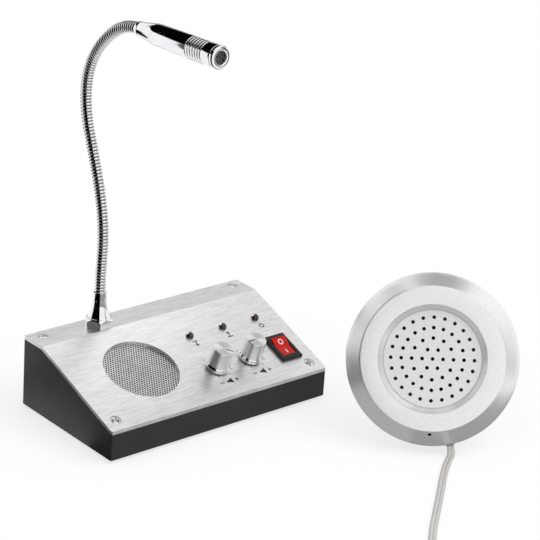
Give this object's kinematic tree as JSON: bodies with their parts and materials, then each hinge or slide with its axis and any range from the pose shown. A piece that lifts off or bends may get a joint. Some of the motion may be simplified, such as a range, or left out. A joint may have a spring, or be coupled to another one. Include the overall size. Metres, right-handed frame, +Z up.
{
  "type": "teller window intercom",
  "caption": "Counter intercom: wedge console with gooseneck microphone, loudspeaker, volume knobs and rocker switch, plus a round window speaking unit on a lead.",
  "frame": {"origin": "middle of the console's footprint, on the counter under its rubber feet", "axes": "+Z up, +X to the clerk's right along the console's front edge, +Y towards the console's rear and the window"},
  "size_m": [0.2219, 0.3512, 0.2453],
  "materials": {
    "dark_paint": "satin dark grey powder coat",
    "brushed_panel": "brushed along the width, clear anodised",
    "bright_screw": "bright zinc",
    "foot_rubber": "matt",
    "mesh_steel": "perforated sheet",
    "basket_steel": "black pressed steel",
    "ferrite": "matt ferrite",
    "cone_paper": "black pulp",
    "led_green": "dark green lens, unlit",
    "led_red": "dark red lens, unlit",
    "knob_aluminium": "fine turned, anodised",
    "shaft_brass": "plain turned",
    "pot_steel": "plated",
    "switch_black": "moulded",
    "rocker_red": "translucent red",
    "contact_brass": "tinned",
    "board_green": "solder mask",
    "chip_black": "moulded",
    "sink_aluminium": "extruded",
    "capacitor_sleeve": "shrink sleeve",
    "socket_black": "moulded",
    "neck_chrome": "satin chrome",
    "mic_metal": "satin nickel",
    "mic_mesh_metal": "dark woven mesh",
    "capsule_metal": "plain",
    "silver_paint": "matt silver paint",
    "grey_plastic": "moulded",
    "foam_white": "closed-cell foam",
    "plate_silver": "matt silver paint",
    "clear_sheath": "clear sheath over twin conductors",
    "plug_metal": "nickel plate"
  },
  "bodies": {
    "console": {"adhesive_ring": "foam_white", "amplifier_chip": "chip_black", "base_housing": "dark_paint", "board_screws": "bright_screw", "cable_grommet": "clear_sheath", "capacitors": "capacitor_sleeve", "dc_socket": "socket_black", "heat_sink": "sink_aluminium", "led_in": "led_green", "led_out": "led_green", "led_power": "led_red", "main_board": "board_green", "neck_collar": "neck_chrome", "neck_hose_1": "neck_chrome", "neck_lock_nut": "pot_steel", "neck_washer": "pot_steel", "outdoor_back": "grey_plastic", "outdoor_cover": "silver_paint", "outdoor_mic": "capsule_metal", "outdoor_plate": "plate_silver", "outdoor_screws": "bright_screw", "outdoor_speaker_basket": "basket_steel", "outdoor_speaker_magnet": "ferrite", "panel_screws": "bright_screw", "potentiometer_in": "pot_steel", "potentiometer_out": "pot_steel", "rubber_feet": "foot_rubber", "speaker_basket": "basket_steel", "speaker_grille": "mesh_steel", "speaker_jack": "socket_black", "speaker_magnet": "ferrite", "switch_blades": "contact_brass", "switch_frame": "switch_black", "top_panel": "brushed_panel", "volume_nuts": "pot_steel", "window_cable": "clear_sheath", "window_cable_coil": "clear_sheath", "window_cable_plug": "plug_metal"},
    "volume_in": {"volume_knob_in": "knob_aluminium", "volume_shaft_in": "shaft_brass"},
    "volume_out": {"volume_knob_out": "knob_aluminium", "volume_shaft_out": "shaft_brass"},
    "rocker": {"switch_rocker": "rocker_red"},
    "speaker_diaphragm": {"speaker_cone": "cone_paper"},
    "outdoor_diaphragm": {"outdoor_speaker_cone": "cone_paper"},
    "microphone": {"neck_hose_8": "neck_chrome", "mic_barrel": "mic_metal", "mic_front_ring": "neck_chrome", "mic_mesh": "mic_mesh_metal", "mic_capsule": "capsule_metal"},
    "neck_2": {"neck_hose_2": "neck_chrome"},
    "neck_3": {"neck_hose_3": "neck_chrome"},
    "neck_4": {"neck_hose_4": "neck_chrome"},
    "neck_5": {"neck_hose_5": "neck_chrome"},
    "neck_6": {"neck_hose_6": "neck_chrome"},
    "neck_7": {"neck_hose_7": "neck_chrome"}
  },
  "joints": [
    {"name": "volume_in_turn", "type": "hinge", "parent": "console", "child": "volume_in", "pos_m": [0.013, -0.02165, 0.02851], "axis": [0, -0.342, 0.9397], "range_deg": [-15, 285]},
    {"name": "volume_out_turn", "type": "hinge", "parent": "console", "child": "volume_out", "pos_m": [0.0382, -0.02165, 0.02851], "axis": [0, -0.342, 0.9397], "range_deg": [-240, 60]},
    {"name": "switch_rock", "type": "hinge", "parent": "console", "child": "rocker", "pos_m": [0.0635, -0.02194, 0.02872], "axis": [1, 0, 0], "range_deg": [-20, 0]},
    {"name": "neck_bend_1", "type": "hinge", "parent": "console", "child": "neck_2", "pos_m": [-0.0337, 0.03301, 0.09158], "axis": [1, 0, 0], "range_deg": [-20, 20]},
    {"name": "neck_sway_1", "type": "hinge", "parent": "neck_2", "child": "neck_3", "pos_m": [-0.0337, 0.03467, 0.11605], "axis": [0, 0.9799, -0.1994], "range_deg": [-20, 20]},
    {"name": "neck_bend_2", "type": "hinge", "parent": "neck_3", "child": "neck_4", "pos_m": [-0.0337, 0.04147, 0.13967], "axis": [1, 0, 0], "range_deg": [-20, 20]},
    {"name": "neck_sway_2", "type": "hinge", "parent": "neck_4", "child": "neck_5", "pos_m": [-0.0337, 0.05018, 0.16267], "axis": [0, 0.9342, -0.3567], "range_deg": [-20, 20]},
    {"name": "neck_bend_3", "type": "hinge", "parent": "neck_5", "child": "neck_6", "pos_m": [-0.0337, 0.05417, 0.18678], "axis": [1, 0, 0], "range_deg": [-20, 20]},
    {"name": "neck_sway_3", "type": "hinge", "parent": "neck_6", "child": "neck_7", "pos_m": [-0.0337, 0.04683, 0.20995], "axis": [0, 0.8377, 0.5461], "range_deg": [-20, 20]},
    {"name": "neck_bend_4", "type": "hinge", "parent": "neck_7", "child": "microphone", "pos_m": [-0.0337, 0.0299, 0.2276], "axis": [1, 0, 0], "range_deg": [-20, 20]},
    {"name": "speaker_travel", "type": "slide", "parent": "console", "child": "speaker_diaphragm", "axis": [0, -0.342, 0.9397], "range_m": [-0.0004, 0.0004], "stiffness_N_per_m": 300},
    {"name": "outdoor_speaker_travel", "type": "slide", "parent": "console", "child": "outdoor_diaphragm", "axis": [-0.6546, -0.6321, 0.4147], "range_m": [-0.0004, 0.0004], "stiffness_N_per_m": 300}
  ]
}
